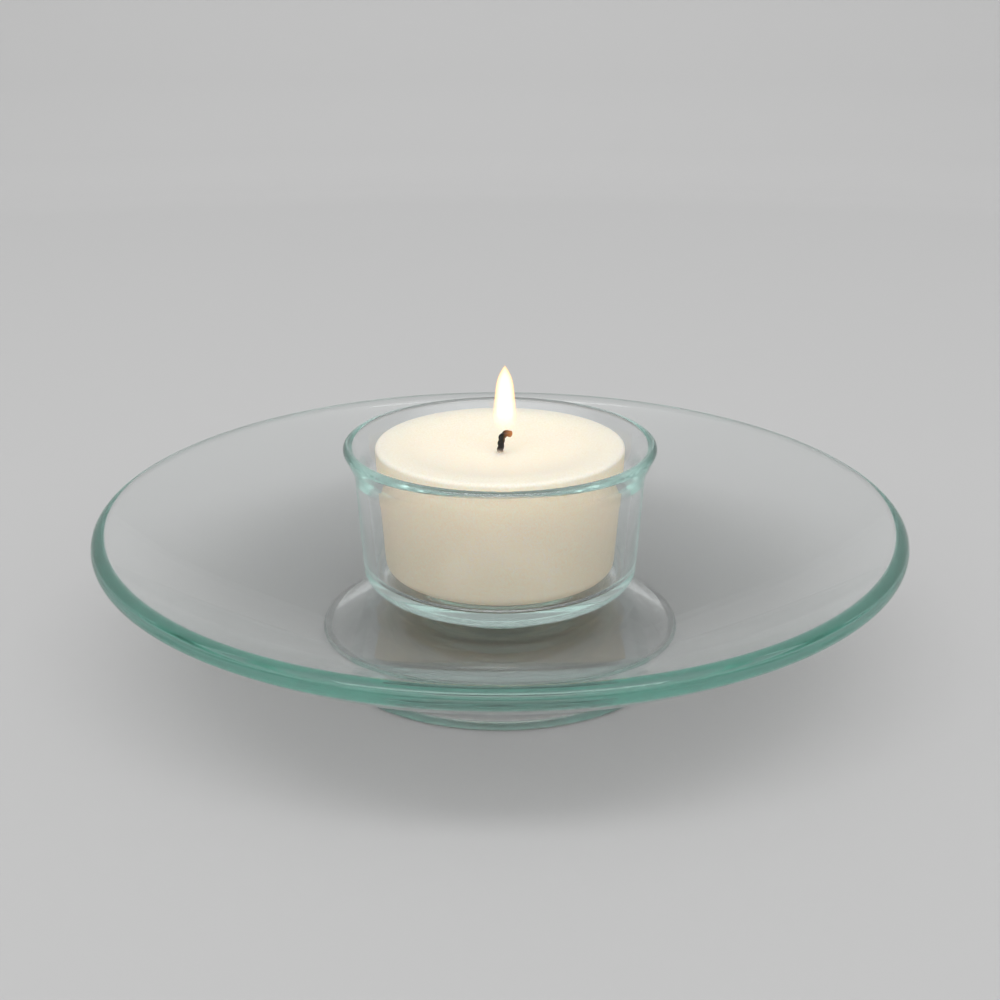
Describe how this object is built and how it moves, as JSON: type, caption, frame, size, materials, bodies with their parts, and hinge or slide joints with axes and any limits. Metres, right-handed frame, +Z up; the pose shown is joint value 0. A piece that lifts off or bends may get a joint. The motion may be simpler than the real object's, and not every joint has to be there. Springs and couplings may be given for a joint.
{
  "type": "candle plate",
  "caption": "Dished clear glass plate on a short neck and a domed foot, with a glass tealight cup standing on its flat centre and a wax tealight that lifts out of the cup.",
  "frame": {"origin": "on the table, under the middle of the plate's foot", "axes": "+Z up along the axis of plate, cup and candle; +X the way the burnt tip of the wick bends; +Y away from the viewer of the picture"},
  "size_m": [0.1272, 0.1272, 0.0367],
  "materials": {
    "plate_glass": "clear pressed soda-lime glass, fire polished, faint green at the edge",
    "cup_glass": "clear pressed soda-lime glass, fire polished, faint green in the base",
    "wax": "cream paraffin wax, smooth and slightly translucent",
    "wick_cotton": "braided cotton, charred",
    "tinned_steel": "thin tinned steel, stamped"
  },
  "bodies": {
    "plate": {"plate": "plate_glass"},
    "cup": {"tealight_cup": "cup_glass"},
    "candle": {"candle_wax": "wax", "wick": "wick_cotton", "wick_sustainer": "tinned_steel"}
  },
  "joints": [
    {"name": "cup_lift", "type": "slide", "parent": "plate", "child": "cup", "axis": [0, 0, 1], "range_m": [0, 0.04]},
    {"name": "candle_lift", "type": "slide", "parent": "cup", "child": "candle", "axis": [0, 0, 1], "range_m": [0, 0.03]}
  ]
}
